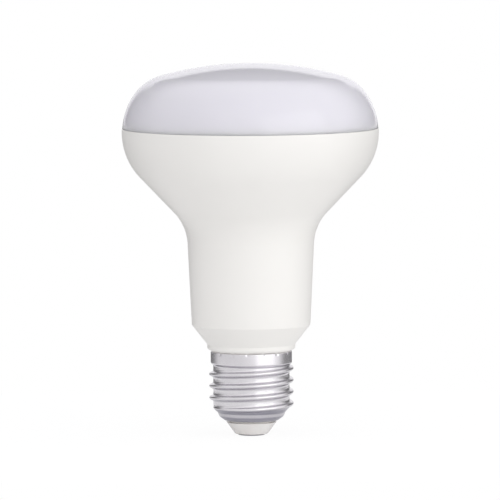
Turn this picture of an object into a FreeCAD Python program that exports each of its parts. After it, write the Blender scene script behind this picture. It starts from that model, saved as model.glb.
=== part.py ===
"""LED reflector lamp, R80 shape, with an E27 screw cap.

The lamp stands on its cap: +Z runs along the axis from the cap to the light
face, and the origin is the middle of the contact's flat bottom. Lengths are
millimetres and angles are degrees.
"""

import FreeCAD, Part
import math
import os

import Sketcher

Vector = FreeCAD.Vector

# Driving sizes

SIZES = {
    # levels, each measured up from the one before; the first is the shell's mouth
    "mouth_height": 4.2,
    "knee_rise": 1.55,
    "taper_rise": 2.85,
    "thread_length": 13.7,
    "band_length": 3.8,
    "collar_gap": 0.15,
    "collar_depth": 1.75,
    "chamfer_rise": 6.0,
    "head_rise": 59.2,
    "seam_rise": 1.1,
    "dome_rise": 19.9,
    # housing
    "rim_radius": 39.4,
    "belly_arc": 20.0,
    "flare_angle": 43.7,
    "throat_arc": 15.0,
    "neck_radius": 18.2,
    "neck_draft": 2.7,
    "neck_edge_round": 0.5,
    "collar_lip": 1.03,
    "collar_round": 0.9,
    "rim_wall": 2.0,
    "rim_edge_round": 0.35,
    # diffuser
    "shoulder_width": 11.52,
    "shoulder_turn": 37.7,
    "crown_rise": 3.78,
    "seam_step": 0.15,
    "seam_gap": 0.1,
    "plug_depth": 3.0,
    "diffuser_edge_round": 0.25,
    # screw shell, pressed and rolled from one sheet
    "sheet_thickness": 0.3,
    "root_radius": 11.9,
    "band_step": 0.57,
    "thread_depth": 1.3,
    "thread_width": 3.0,
    "crest_arc": 0.6,
    "thread_pitch": 3.629,
    "thread_lead": 2.53,
    "thread_sink": 0.03,
    "ridge_depth": 0.8,
    "fade_depth": 0.9,
    "fade_drop": 1.1,
    "full_rise": 0.8,
    "full_drop": 1.4,
    "fade_rise": 1.45,
    "fade_lip": 0.3,
    "taper_round": 1.2,
    "step_round": 0.4,
    "knee_inset": 2.1,
    "knee_round": 1.6,
    "mouth_inset": 2.0,
    # punched stakes that lock the shell to the housing
    "stake_count": 16,
    "stake_angle": 16.9,
    "stake_radius": 0.8,
    "stake_depth": 0.22,
    "stake_length": 1.5,
    # insulator and contact
    "nose_angle": 36.2,
    "nose_round": 0.7,
    "insulator_rise": 0.4,
    "contact_radius": 4.1,
    "contact_thickness": 0.35,
    "contact_round": 0.2,
    "pin_radius": 1.2,
    "pin_cover": 1.0,
    # running fit between pieces that slide together
    "fit": 0.05,
}

# Places that follow from the driving sizes

PLACES = {
    "knee_height": "mouth_height + knee_rise",
    "taper_top": "knee_height + taper_rise",
    "band_bottom": "taper_top + thread_length",
    "shell_top": "band_bottom + band_length",
    "collar_bottom": "shell_top + collar_gap",
    "collar_height": "collar_bottom + collar_depth",
    "neck_height": "collar_height + chamfer_rise",
    "belly_height": "neck_height + head_rise",
    "seam_height": "belly_height + seam_rise",
    "top_height": "seam_height + dome_rise",
    "plug_floor": "seam_height - plug_depth",
    "plug_radius": "rim_radius - rim_wall",
    "dome_radius": "rim_radius - seam_step",
    "band_radius": "root_radius + band_step",
    "collar_radius": "band_radius + collar_lip",
    "crest_radius": "root_radius + thread_depth",
    "knee_radius": "root_radius - knee_inset",
    "mouth_radius": "knee_radius - mouth_inset",
    "thread_start": "taper_top - thread_lead",
    "thread_turns": "(band_bottom - thread_start) / thread_pitch + 0.5",
    "fade_radius": "root_radius - fade_depth",
    "fade_height": "taper_top - fade_drop",
    "full_height": "taper_top + full_rise",
    "full_top": "band_bottom - full_drop",
    "fade_top": "full_top + fade_rise",
    "fade_top_radius": "root_radius + fade_lip",
    "insulator_top": "taper_top + insulator_rise",
    "pin_top": "insulator_top - pin_cover",
}

doc = FreeCAD.newDocument("reflector_lamp")
sheet = doc.addObject("Spreadsheet::Sheet", "sizes")
for row, (alias, value) in enumerate(SIZES.items(), start=1):
    sheet.set("A%d" % row, alias)
    sheet.set("B%d" % row, str(value))
    sheet.setAlias("B%d" % row, alias)
for row, (alias, formula) in enumerate(PLACES.items(), start=len(SIZES) + 1):
    sheet.set("A%d" % row, alias)
    sheet.set("B%d" % row, "=" + formula)
    sheet.setAlias("B%d" % row, alias)
doc.recompute()


def size(alias):
    """Return one size or place from the sheet."""
    return float(sheet.get(alias))


def sin(angle):
    return math.sin(math.radians(angle))


def cos(angle):
    return math.cos(math.radians(angle))


def tan(angle):
    return math.tan(math.radians(angle))


# Drawing half sections

START, END, CENTRE = range(1, 4)


class Section:
    """A closed half section on the body's XZ plane: x is radius, y is height."""

    def __init__(self, body, name, plane="XZ_Plane"):
        self.sketch = body.newObject("Sketcher::SketchObject", name)
        planes = [p for p in body.Origin.OriginFeatures if p.Role == plane]
        self.sketch.AttachmentSupport = [(planes[0], "")]
        self.sketch.MapMode = "FlatFace"

    def line(self, start, end, construction=False):
        """Draw a straight edge and return its number."""
        edge = Part.LineSegment(Vector(*start, 0), Vector(*end, 0))
        return self.sketch.addGeometry(edge, construction)

    def arc(self, centre, radius, start_angle, end_angle):
        """Draw an arc anticlockwise between two angles and return its number."""
        circle = Part.Circle(Vector(*centre, 0), Vector(0, 0, 1), radius)
        edge = Part.ArcOfCircle(circle, math.radians(start_angle), math.radians(end_angle))
        return self.sketch.addGeometry(edge, False)

    def chain(self, points):
        """Draw straight edges through the points and join them; return their numbers."""
        edges = [self.line(a, b) for a, b in zip(points, points[1:])]
        for first, second in zip(edges, edges[1:]):
            self.join(first, END, second, START)
        return edges

    def join(self, first, first_end, second, second_end):
        """Make two edge ends meet."""
        self.rule("Coincident", first, first_end, second, second_end)

    def blend(self, first, first_end, second, second_end):
        """Make two edge ends meet and run smoothly into each other."""
        self.rule("Tangent", first, first_end, second, second_end)

    def rule(self, kind, *geometry):
        """Add a rule that has no value."""
        return self.sketch.addConstraint(Sketcher.Constraint(kind, *geometry))

    def bind(self, kind, geometry, value, formula):
        """Add a rule whose value follows a formula of the sheet's sizes."""
        number = self.sketch.addConstraint(Sketcher.Constraint(kind, *geometry, value))
        self.sketch.setExpression("Constraints[%d]" % number, formula)

    def radius_at(self, edge, end, formula):
        """Set how far from the axis an edge's end lies."""
        self.bind("DistanceX", (-1, 1, edge, end), self.sketch.getPoint(edge, end).x, formula)

    def height_at(self, edge, end, formula):
        """Set how high an edge's end lies."""
        self.bind("DistanceY", (-1, 1, edge, end), self.sketch.getPoint(edge, end).y, formula)

    def on_axis(self, edge, end):
        """Put an edge's end on the lamp's axis."""
        self.rule("PointOnObject", edge, end, -2)


def new_body(name):
    """Start one sub-part."""
    body = doc.addObject("PartDesign::Body", name)
    body.Label = name
    return body


def revolve(body, section, name, kind="PartDesign::Revolution"):
    """Turn a half section a full circle about the lamp's axis."""
    feature = body.newObject(kind, name)
    feature.Profile = section.sketch
    feature.ReferenceAxis = (section.sketch, ["V_Axis"])
    feature.Angle = 360
    doc.recompute()
    return feature


def ring_edges(shape, radius, height):
    """Name the circular edges of a turned shape at one radius and height."""
    names = []
    for number, edge in enumerate(shape.Edges, start=1):
        if edge.Degenerated or not isinstance(edge.Curve, Part.Circle):
            continue
        centre = edge.Curve.Center
        off_axis = math.hypot(centre.x, centre.y)
        if off_axis < 1e-4 and abs(edge.Curve.Radius - radius) < 0.01 and abs(centre.z - height) < 0.01:
            names.append("Edge%d" % number)
    return names


def round_edge(body, base, name, radius, height, formula):
    """Round the turned edge at one radius and height."""
    fillet = body.newObject("PartDesign::Fillet", name)
    fillet.Base = (base, ring_edges(base.Shape, radius, height))
    fillet.setExpression("Radius", formula)
    doc.recompute()
    return fillet


# Housing

def flare_points():
    """Return the throat and flare corners and the throat arc's centre."""
    lean = size("neck_draft")
    flare = size("flare_angle")
    belly_centre = size("rim_radius") - size("belly_arc")
    belly_point = (belly_centre + size("belly_arc") * cos(flare),
                   size("belly_height") - size("belly_arc") * sin(flare))
    # where the neck line and the flare line would cross
    rise = belly_point[1] - size("neck_height")
    run = belly_point[0] - size("neck_radius")
    along_neck = (rise * sin(flare) - run * cos(flare)) / sin(flare - lean)
    corner = (size("neck_radius") + along_neck * sin(lean), size("neck_height") + along_neck * cos(lean))
    reach = size("throat_arc") * tan((flare - lean) / 2)
    neck_top = (corner[0] - reach * sin(lean), corner[1] - reach * cos(lean))
    flare_foot = (corner[0] + reach * sin(flare), corner[1] + reach * cos(flare))
    centre = (neck_top[0] + size("throat_arc") * cos(lean), neck_top[1] - size("throat_arc") * sin(lean))
    return neck_top, centre, flare_foot, belly_point


def make_housing():
    """Moulded housing: rim, belly, flare, throat, drafted neck, collar and spigot."""
    body = new_body("housing")
    section = Section(body, "housing_section")
    neck_top, throat_centre, flare_foot, belly_point = flare_points()
    spigot = size("root_radius") - size("sheet_thickness") - size("fit")
    shoulder = size("band_radius") - size("sheet_thickness") - size("fit")
    spigot_foot = size("insulator_top") + size("fit")
    step_top = size("band_bottom") + size("sheet_thickness")
    collar_bottom = size("collar_bottom")
    lip = size("collar_radius") - size("collar_round")
    belly_centre = size("rim_radius") - size("belly_arc")
    seam_radius = belly_centre + math.sqrt(size("belly_arc") ** 2 - size("seam_rise") ** 2)
    seam_angle = math.degrees(math.asin(size("seam_rise") / size("belly_arc")))

    lower = section.chain([
        (0, spigot_foot),
        (spigot, spigot_foot),
        (spigot, size("band_bottom")),
        (shoulder, step_top),
        (shoulder, collar_bottom),
        (lip, collar_bottom),
    ])
    foot, side, step, neck_in, underside = lower
    bead = section.arc((lip, collar_bottom + size("collar_round")), size("collar_round"), 270, 360)
    upper = section.chain([
        (size("collar_radius"), collar_bottom + size("collar_round")),
        (size("collar_radius"), size("collar_height")),
        (size("neck_radius"), size("neck_height")),
        neck_top,
    ])
    collar, chamfer, neck = upper
    throat = section.arc(throat_centre, size("throat_arc"),
                         180 - size("flare_angle"), 180 - size("neck_draft"))
    flare = section.line(flare_foot, belly_point)
    belly = section.arc((belly_centre, size("belly_height")), size("belly_arc"), -size("flare_angle"), seam_angle)
    mouth = section.chain([
        (seam_radius, size("seam_height")),
        (size("plug_radius"), size("seam_height")),
        (size("plug_radius"), size("plug_floor")),
        (0, size("plug_floor")),
        (0, spigot_foot),
    ])
    rim, wall, floor, axis = mouth

    section.blend(underside, END, bead, START)
    section.blend(bead, END, collar, START)
    section.blend(neck, END, throat, END)
    section.blend(throat, START, flare, START)
    section.blend(flare, END, belly, START)
    section.join(belly, END, rim, START)
    section.join(axis, END, foot, START)
    for level in (foot, underside, rim, floor):
        section.rule("Horizontal", level)
    for upright in (side, neck_in, collar, wall):
        section.rule("Vertical", upright)
    section.on_axis(axis, START)
    section.on_axis(axis, END)

    section.height_at(foot, START, "sizes.insulator_top + sizes.fit")
    section.radius_at(foot, END, "sizes.root_radius - sizes.sheet_thickness - sizes.fit")
    section.height_at(side, END, "sizes.band_bottom")
    section.height_at(step, END, "sizes.band_bottom + sizes.sheet_thickness")
    section.radius_at(step, END, "sizes.band_radius - sizes.sheet_thickness - sizes.fit")
    section.height_at(neck_in, END, "sizes.collar_bottom")
    section.bind("Radius", (bead,), size("collar_round"), "sizes.collar_round")
    section.radius_at(collar, END, "sizes.collar_radius")
    section.height_at(collar, END, "sizes.collar_height")
    section.radius_at(chamfer, END, "sizes.neck_radius")
    section.height_at(chamfer, END, "sizes.neck_height")
    section.bind("Angle", (neck,), math.radians(90 - size("neck_draft")), "(90 - sizes.neck_draft) * 1 deg")
    section.bind("Radius", (throat,), size("throat_arc"), "sizes.throat_arc")
    section.bind("Angle", (flare,), math.radians(90 - size("flare_angle")), "(90 - sizes.flare_angle) * 1 deg")
    section.bind("Radius", (belly,), size("belly_arc"), "sizes.belly_arc")
    section.radius_at(belly, CENTRE, "sizes.rim_radius - sizes.belly_arc")
    section.height_at(belly, CENTRE, "sizes.belly_height")
    section.height_at(rim, START, "sizes.seam_height")
    section.radius_at(wall, START, "sizes.plug_radius")
    section.height_at(wall, END, "sizes.plug_floor")

    blank = revolve(body, section, "housing_blank")
    edge = round_edge(body, blank, "neck_edge", size("neck_radius"), size("neck_height"), "sizes.neck_edge_round")
    round_edge(body, edge, "rim_edge", seam_radius, size("seam_height"), "sizes.rim_edge_round")
    punch_dents(body, size("sheet_thickness") + size("fit"), " + sizes.sheet_thickness + sizes.fit")
    return body


# Diffuser

def dome_arcs():
    """Return the centre and radius of the side, shoulder and crown arcs.

    The crown arc spans the flat of the dome. The side arc turns in from upright
    by a set angle, and the shoulder arc runs smoothly into both.
    """
    edge_radius = size("dome_radius") - size("shoulder_width")
    edge_height = size("top_height") - size("crown_rise")
    crown = (edge_radius ** 2 + size("crown_rise") ** 2) / (2 * size("crown_rise"))
    crown_angle = math.degrees(math.atan2(crown - size("crown_rise"), edge_radius))
    turn = size("shoulder_turn")
    rise = edge_height - size("belly_height")
    # rise and width are each a sum of the side arc's and the shoulder arc's share
    up_side, up_shoulder = sin(turn), sin(crown_angle) - sin(turn)
    in_side, in_shoulder = 1 - cos(turn), cos(turn) - cos(crown_angle)
    whole = up_side * in_shoulder - up_shoulder * in_side
    side = (rise * in_shoulder - size("shoulder_width") * up_shoulder) / whole
    shoulder = (size("shoulder_width") * up_side - rise * in_side) / whole
    side_centre = (size("dome_radius") - side, size("belly_height"))
    shoulder_centre = (side_centre[0] + (side - shoulder) * cos(turn), side_centre[1] + (side - shoulder) * sin(turn))
    crown_centre = (0, size("top_height") - crown)
    return (side_centre, side), (shoulder_centre, shoulder), (crown_centre, crown), crown_angle


def make_diffuser():
    """Opal dome whose plug sits in the housing's mouth."""
    body = new_body("diffuser")
    section = Section(body, "diffuser_section")
    foot_height = size("seam_height") + size("seam_gap")
    (side_centre, side_arc), (shoulder_centre, shoulder_arc), (crown_centre, crown_arc), crown_angle = dome_arcs()
    side_angle = size("shoulder_turn")
    foot_angle = math.degrees(math.asin((foot_height - size("belly_height")) / side_arc))
    foot_radius = side_centre[0] + side_arc * cos(foot_angle)
    plug = size("plug_radius") - size("fit")
    plug_floor = size("plug_floor") + size("fit")

    lower = section.chain([
        (0, plug_floor),
        (plug, plug_floor),
        (plug, foot_height),
        (foot_radius, foot_height),
    ])
    floor, wall, ledge = lower
    side = section.arc(side_centre, side_arc, foot_angle, side_angle)
    shoulder = section.arc(shoulder_centre, shoulder_arc, side_angle, crown_angle)
    crown = section.arc(crown_centre, crown_arc, crown_angle, 90)
    axis = section.line((0, size("top_height")), (0, plug_floor))
    widest = section.line(side_centre, (size("dome_radius"), size("belly_height")), construction=True)
    side_end = (side_centre[0] + side_arc * cos(side_angle), side_centre[1] + side_arc * sin(side_angle))
    spoke = section.line(side_centre, side_end, construction=True)

    section.join(ledge, END, side, START)
    section.blend(side, END, shoulder, START)
    section.blend(shoulder, END, crown, START)
    section.join(crown, END, axis, START)
    section.join(axis, END, floor, START)
    section.rule("Horizontal", floor)
    section.rule("Horizontal", ledge)
    section.rule("Vertical", wall)
    section.on_axis(axis, START)
    section.on_axis(axis, END)
    section.on_axis(crown, CENTRE)

    section.join(side, CENTRE, widest, START)
    section.rule("Horizontal", widest)
    section.rule("PointOnObject", widest, END, side)
    section.join(side, CENTRE, spoke, START)
    section.join(side, END, spoke, END)

    section.height_at(floor, END, "sizes.plug_floor + sizes.fit")
    section.radius_at(floor, END, "sizes.plug_radius - sizes.fit")
    section.height_at(ledge, END, "sizes.seam_height + sizes.seam_gap")
    section.radius_at(widest, END, "sizes.dome_radius")
    section.height_at(side, CENTRE, "sizes.belly_height")
    section.bind("Angle", (spoke,), math.radians(side_angle), "sizes.shoulder_turn * 1 deg")
    section.radius_at(crown, START, "sizes.dome_radius - sizes.shoulder_width")
    section.height_at(crown, START, "sizes.top_height - sizes.crown_rise")
    section.height_at(crown, END, "sizes.top_height")

    blank = revolve(body, section, "diffuser_blank")
    round_edge(body, blank, "diffuser_edge", foot_radius, foot_height, "sizes.diffuser_edge_round")
    return body


# Screw shell

def point_at(start, direction, height):
    """Return where a slanted line reaches a height."""
    along = (height - start[1]) / direction[1]
    return start[0] + along * direction[0], height


def offset_wall(section, corners, formulas, rounds, offset, offset_formula, low=None, high=None):
    """Draw a bent wall through pinned corners, or parallel to it at an offset inwards.

    Each corner is (radius, height) with the two formulas that hold it, and the
    corners between are rounded. The wall runs from the low to the high level,
    or square off its end corners where no level is given.
    """
    guides = [section.line(a, b, construction=True) for a, b in zip(corners, corners[1:])]
    for first, second in zip(guides, guides[1:]):
        section.join(first, END, second, START)
    section.radius_at(guides[0], START, formulas[0][0])
    section.height_at(guides[0], START, formulas[0][1])
    for guide, (radius, height) in zip(guides, formulas[1:]):
        section.radius_at(guide, END, radius)
        section.height_at(guide, END, height)

    shifted = []
    for (r0, z0), (r1, z1) in zip(corners, corners[1:]):
        length = math.hypot(r1 - r0, z1 - z0)
        run, rise = (r1 - r0) / length, (z1 - z0) / length
        shifted.append(((r0 - rise * offset, z0 + run * offset), (run, rise)))
    ends = [shifted[0][0] if low is None else point_at(*shifted[0], low)]
    arcs = []
    for index, alias in enumerate(rounds):
        (a, (ra, za)), (b, (rb, zb)) = shifted[index], shifted[index + 1]
        along = ((b[0] - a[0]) * zb - (b[1] - a[1]) * rb) / (ra * zb - za * rb)
        corner = (a[0] + along * ra, a[1] + along * za)
        leans_in = ra * zb - za * rb > 0
        radius = size(alias) - offset if leans_in else size(alias) + offset
        turn = math.acos(ra * rb + za * zb)
        reach = radius * math.tan(turn / 2)
        ends += [(corner[0] - reach * ra, corner[1] - reach * za), (corner[0] + reach * rb, corner[1] + reach * zb)]
        side = -1 if leans_in else 1
        centre = (ends[-2][0] + side * radius * za, ends[-2][1] - side * radius * ra)
        angles = [math.degrees(math.atan2(z - centre[1], r - centre[0])) for r, z in ends[-2:]]
        arcs.append((centre, radius, angles, leans_in, alias))
    run, rise = shifted[-1][1]
    last = (corners[-1][0] - rise * offset, corners[-1][1] + run * offset)
    ends.append(last if high is None else point_at(last, (run, rise), high))

    walls = [section.line(ends[2 * k], ends[2 * k + 1]) for k in range(len(guides))]
    for wall, guide in zip(walls, guides):
        if offset:
            section.rule("Parallel", wall, guide)
            section.bind("Distance", (wall, START, guide), offset, offset_formula)
        else:
            section.rule("PointOnObject", wall, START, guide)
            section.rule("PointOnObject", wall, END, guide)
    for index, (centre, radius, angles, leans_in, alias) in enumerate(arcs):
        first, second = walls[index], walls[index + 1]
        if leans_in:
            bend = section.arc(centre, radius, *angles)
            section.blend(first, END, bend, START)
            section.blend(bend, END, second, START)
        else:
            bend = section.arc(centre, radius, angles[1], angles[0])
            section.blend(first, END, bend, END)
            section.blend(bend, START, second, START)
        sign = "-" if leans_in else "+"
        shift = " %s (%s)" % (sign, offset_formula) if offset else ""
        section.bind("Radius", (bend,), radius, "sizes." + alias + shift)
    return walls


WALL = [
    ("sizes.mouth_radius", "sizes.mouth_height"),
    ("sizes.knee_radius", "sizes.knee_height"),
    ("sizes.root_radius", "sizes.taper_top"),
    ("sizes.root_radius", "sizes.band_bottom - (sizes.band_radius - sizes.root_radius)"),
    ("sizes.band_radius", "sizes.band_bottom"),
    ("sizes.band_radius", "sizes.shell_top"),
]


def wall_corners():
    """Return the shell's outer corners, mouth first; the step leans at 45 degrees."""
    step = size("band_radius") - size("root_radius")
    return [
        (size("mouth_radius"), size("mouth_height")),
        (size("knee_radius"), size("knee_height")),
        (size("root_radius"), size("taper_top")),
        (size("root_radius"), size("band_bottom") - step),
        (size("band_radius"), size("band_bottom")),
        (size("band_radius"), size("shell_top")),
    ]


def add_wall(body, inside):
    """Turn the wall without its thread, filled to the axis.

    The inside form runs past both ends, so that it opens them when it is cut away.
    """
    section = Section(body, "wall_section")
    past = size("sheet_thickness") if inside else 0.0
    shift = " %s sizes.sheet_thickness" if inside else ""
    low, high = size("mouth_height") - past, size("shell_top") + past
    rounds = ("knee_round", "taper_round", "step_round", "step_round")
    walls = offset_wall(section, wall_corners(), WALL, rounds, past, "sizes.sheet_thickness", low, high)
    foot_radius = section.sketch.getPoint(walls[0], START).x
    top_radius = size("band_radius") - past
    floor = section.line((0, low), (foot_radius, low))
    top = section.line((top_radius, high), (0, high))
    axis = section.line((0, high), (0, low))
    section.join(floor, END, walls[0], START)
    section.join(walls[-1], END, top, START)
    section.join(top, END, axis, START)
    section.join(axis, END, floor, START)
    section.rule("Horizontal", floor)
    section.rule("Horizontal", top)
    section.on_axis(axis, START)
    section.on_axis(axis, END)
    section.height_at(floor, START, "sizes.mouth_height" + (shift % "-" if inside else ""))
    section.height_at(top, END, "sizes.shell_top" + (shift % "+" if inside else ""))
    return revolve(body, section, "wall")


def thread_slope():
    """Return the thread's depth and the slope where its two arcs meet."""
    depth = size("crest_radius") - size("root_radius") + size("thread_sink")
    return depth, 2 * math.degrees(math.atan2(depth, size("thread_width") / 2))


def add_ridge(body, inside):
    """Sweep the rolled thread's ridge round the axis.

    The crest is one arc and each flank is a root arc that runs into the wall.
    """
    section = Section(body, "ridge_section")
    offset = size("sheet_thickness") if inside else 0.0
    shift = " - sizes.sheet_thickness" if inside else ""
    height = size("thread_start")
    half_width = size("thread_width") / 2
    slope = thread_slope()[1]
    crest = size("crest_arc") - offset
    root = half_width / sin(slope) - crest
    root_floor = size("root_radius") - size("thread_sink") - offset
    root_centre = root_floor + root
    stop = math.degrees(math.acos(1 - 0.3 * size("thread_sink") / root))
    foot = root_centre - root * cos(stop)
    base = size("root_radius") - size("ridge_depth") - offset

    tip = section.arc((size("crest_radius") - size("crest_arc"), height), crest, -slope, slope)
    low = section.arc((root_centre, height - half_width), root, 180 - slope, 180 - stop)
    high = section.arc((root_centre, height + half_width), root, 180 + stop, 180 + slope)
    low_foot = (foot, height - half_width + root * sin(stop))
    high_foot = (foot, height + half_width - root * sin(stop))
    inlet, back, outlet = section.chain([low_foot, (base, low_foot[1]), (base, high_foot[1]), high_foot])

    section.blend(tip, START, low, START)
    section.blend(tip, END, high, END)
    section.join(low, END, inlet, START)
    section.join(outlet, END, high, START)
    section.rule("Horizontal", inlet)
    section.rule("Vertical", back)
    section.rule("Horizontal", outlet)
    section.bind("Radius", (tip,), crest, "sizes.crest_arc" + shift)
    section.radius_at(tip, CENTRE, "sizes.crest_radius - sizes.crest_arc")
    section.height_at(tip, CENTRE, "sizes.thread_start")
    for arc, side, sign in ((low, -1, "-"), (high, 1, "+")):
        level = height + side * half_width
        spoke = section.line((root_centre, level), (root_floor, level), construction=True)
        section.join(arc, CENTRE, spoke, START)
        section.rule("Horizontal", spoke)
        section.rule("PointOnObject", spoke, END, arc)
        section.radius_at(spoke, END, "sizes.root_radius - sizes.thread_sink" + shift)
        section.height_at(spoke, END, "sizes.thread_start %s sizes.thread_width / 2" % sign)
    section.radius_at(low, END, "sizes.root_radius - 0.7 * sizes.thread_sink" + shift)
    section.radius_at(high, START, "sizes.root_radius - 0.7 * sizes.thread_sink" + shift)
    section.radius_at(back, START, "sizes.root_radius - sizes.ridge_depth" + shift)

    helix = body.newObject("PartDesign::AdditiveHelix", "ridge")
    helix.Profile = section.sketch
    helix.ReferenceAxis = (section.sketch, ["V_Axis"])
    helix.Mode = "pitch-turns-angle"
    helix.setExpression("Pitch", "sizes.thread_pitch")
    helix.setExpression("Turns", "sizes.thread_turns")
    doc.recompute()
    return helix


def trim_ridge(body, inside, name, inner, outer, sign):
    """Cut the ridge away beyond a slanted line, so that the thread fades out.

    The line runs from the inner corner, in the wall, to the outer corner at the
    crest. A sign of -1 cuts below it and 1 cuts above it.
    """
    section = Section(body, name + "_section")
    corners = [tuple(size(alias) for alias in inner), tuple(size(alias) for alias in outer)]
    formulas = [tuple("sizes." + alias for alias in inner), tuple("sizes." + alias for alias in outer)]
    if sign > 0:
        corners.reverse()
        formulas.reverse()
    offset = size("sheet_thickness") if inside else 0.0
    wall = offset_wall(section, corners, formulas, (), offset, "sizes.sheet_thickness")[0]
    start, end = section.sketch.getPoint(wall, START), section.sketch.getPoint(wall, END)
    near, away = (start, end) if sign < 0 else (end, start)
    near_end, away_end = (START, END) if sign < 0 else (END, START)
    far = size("crest_radius") + size("thread_pitch")
    level = near.y + sign * size("thread_pitch")
    out, side, back, up = section.chain([
        (away.x, away.y), (far, away.y), (far, level), (near.x, level), (near.x, near.y)])
    section.join(wall, away_end, out, START)
    section.join(up, END, wall, near_end)
    section.rule("Horizontal", out)
    section.rule("Vertical", side)
    section.rule("Horizontal", back)
    section.rule("Vertical", up)
    section.height_at(wall, START, formulas[0][1])
    section.height_at(wall, END, formulas[1][1])
    section.radius_at(out, END, "sizes.crest_radius + sizes.thread_pitch")
    word = "-" if sign < 0 else "+"
    section.height_at(side, END, "sizes." + inner[1] + " %s sizes.thread_pitch" % word)
    return revolve(body, section, name, "PartDesign::Groove")


def dent_circle(body, name, radius, formula):
    """Draw one punch mark's circle just outside the band, seen along the axis."""
    section = Section(body, name, "XY_Plane")
    turned = FreeCAD.Rotation(Vector(0, 0, 1), size("stake_angle"))
    section.sketch.AttachmentOffset = FreeCAD.Placement(Vector(0, 0, 0), turned)
    section.sketch.setExpression("AttachmentOffset.Base.z", "sizes.shell_top - sizes.stake_length")
    centre = size("band_radius") + size("stake_radius") - size("stake_depth")
    ring = section.sketch.addGeometry(Part.Circle(Vector(centre, 0, 0), Vector(0, 0, 1), radius), False)
    section.bind("Radius", (ring,), radius, formula)
    section.rule("PointOnObject", ring, CENTRE, -1)
    section.radius_at(ring, CENTRE, "sizes.band_radius + sizes.stake_radius - sizes.stake_depth")
    return section


def punch_dents(body, extra, extra_formula):
    """Punch the ring of stakes into the band's top edge."""
    radius = size("stake_radius") + extra
    section = dent_circle(body, "dent_section", radius, "sizes.stake_radius" + extra_formula)
    faces_before = len(body.Tip.Shape.Faces)
    dent = body.newObject("PartDesign::Pocket", "dent")
    dent.Profile = section.sketch
    dent.Type = "Length"
    dent.Reversed = True
    dent.setExpression("Length", "sizes.stake_length + sizes.fit")
    doc.recompute()
    if len(dent.Shape.Faces) <= faces_before:
        raise RuntimeError("the punch mark misses " + body.Name)
    ring = body.newObject("PartDesign::PolarPattern", "dents")
    ring.Originals = [dent]
    ring.Axis = (section.sketch, ["N_Axis"])
    ring.Angle = 360
    ring.setExpression("Occurrences", "sizes.stake_count")
    body.Tip = ring
    doc.recompute()
    return ring


def shell_form(name, inside):
    """Make the shell's outside form, or the inside form one thickness in."""
    body = new_body(name)
    add_ridge(body, inside)
    trim_ridge(body, inside, "lower_fade", ("fade_radius", "fade_height"), ("crest_radius", "full_height"), -1)
    trim_ridge(body, inside, "upper_fade", ("fade_top_radius", "fade_top"), ("crest_radius", "full_top"), 1)
    add_wall(body, inside)
    extra = size("sheet_thickness") if inside else 0.0
    punch_dents(body, extra, " + sizes.sheet_thickness" if inside else "")
    return body


def make_screw_shell():
    """Thin rolled shell: band, screw thread, taper and turned-in mouth."""
    outside = shell_form("shell_outside", inside=False)
    inside = shell_form("shell_inside", inside=True)
    shell = doc.addObject("Part::Cut", "cap_shell")
    shell.Label = "cap_shell"
    shell.Base = outside
    shell.Tool = inside
    doc.recompute()
    return shell


# Insulator and contact

def make_insulator():
    """Moulded plug that fills the shell's mouth and carries the contact."""
    body = new_body("cap_insulator")
    section = Section(body, "insulator_section")
    corners = wall_corners()[:3] + [(size("root_radius"), size("insulator_top"))]
    formulas = WALL[:3] + [("sizes.root_radius", "sizes.insulator_top")]
    inset = size("sheet_thickness") + size("fit")
    rounds = ("knee_round", "taper_round")
    lip = size("mouth_height") - size("fit")
    walls = offset_wall(section, corners, formulas, rounds, inset, "sizes.sheet_thickness + sizes.fit", lip)
    nose = size("contact_thickness") + size("fit")
    bore = size("pin_radius") + size("fit")
    nose_radius = size("mouth_radius") - (lip - nose) * tan(size("nose_angle"))
    seat = section.sketch.getPoint(walls[0], START).x
    wall_radius = size("root_radius") - inset

    under, cone, face, hole, top = section.chain([
        (seat, lip), (size("mouth_radius"), lip), (nose_radius, nose), (bore, nose),
        (bore, size("insulator_top")), (wall_radius, size("insulator_top"))])
    section.join(walls[0], START, under, START)
    section.join(top, END, walls[-1], END)
    for level in (under, face, top):
        section.rule("Horizontal", level)
    section.rule("Vertical", hole)
    section.height_at(under, END, "sizes.mouth_height - sizes.fit")
    section.radius_at(under, END, "sizes.mouth_radius")
    section.height_at(face, START, "sizes.contact_thickness + sizes.fit")
    section.bind("Angle", (cone,), math.radians(-90 - size("nose_angle")), "-(90 + sizes.nose_angle) * 1 deg")
    section.radius_at(hole, START, "sizes.pin_radius + sizes.fit")
    section.height_at(top, START, "sizes.insulator_top")
    blank = revolve(body, section, "insulator_blank")
    round_edge(body, blank, "nose_edge", nose_radius, nose, "sizes.nose_round")
    return body


def make_contact():
    """Flat-headed centre contact whose pin runs up the insulator's bore."""
    body = new_body("centre_contact")
    section = Section(body, "contact_section")
    edges = section.chain([
        (0, 0),
        (size("contact_radius"), 0),
        (size("contact_radius"), size("contact_thickness")),
        (size("pin_radius"), size("contact_thickness")),
        (size("pin_radius"), size("pin_top")),
        (0, size("pin_top")),
        (0, 0),
    ])
    face, edge, back, pin, tip, axis = edges
    section.join(axis, END, face, START)
    for level in (face, back, tip):
        section.rule("Horizontal", level)
    for upright in (edge, pin, axis):
        section.rule("Vertical", upright)
    section.rule("Coincident", face, START, -1, 1)
    section.radius_at(face, END, "sizes.contact_radius")
    section.height_at(edge, END, "sizes.contact_thickness")
    section.radius_at(pin, END, "sizes.pin_radius")
    section.height_at(pin, END, "sizes.pin_top")
    blank = revolve(body, section, "contact_blank")
    round_edge(body, blank, "contact_edge", size("contact_radius"), 0, "sizes.contact_round")
    return body


# Build, check and write

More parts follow.
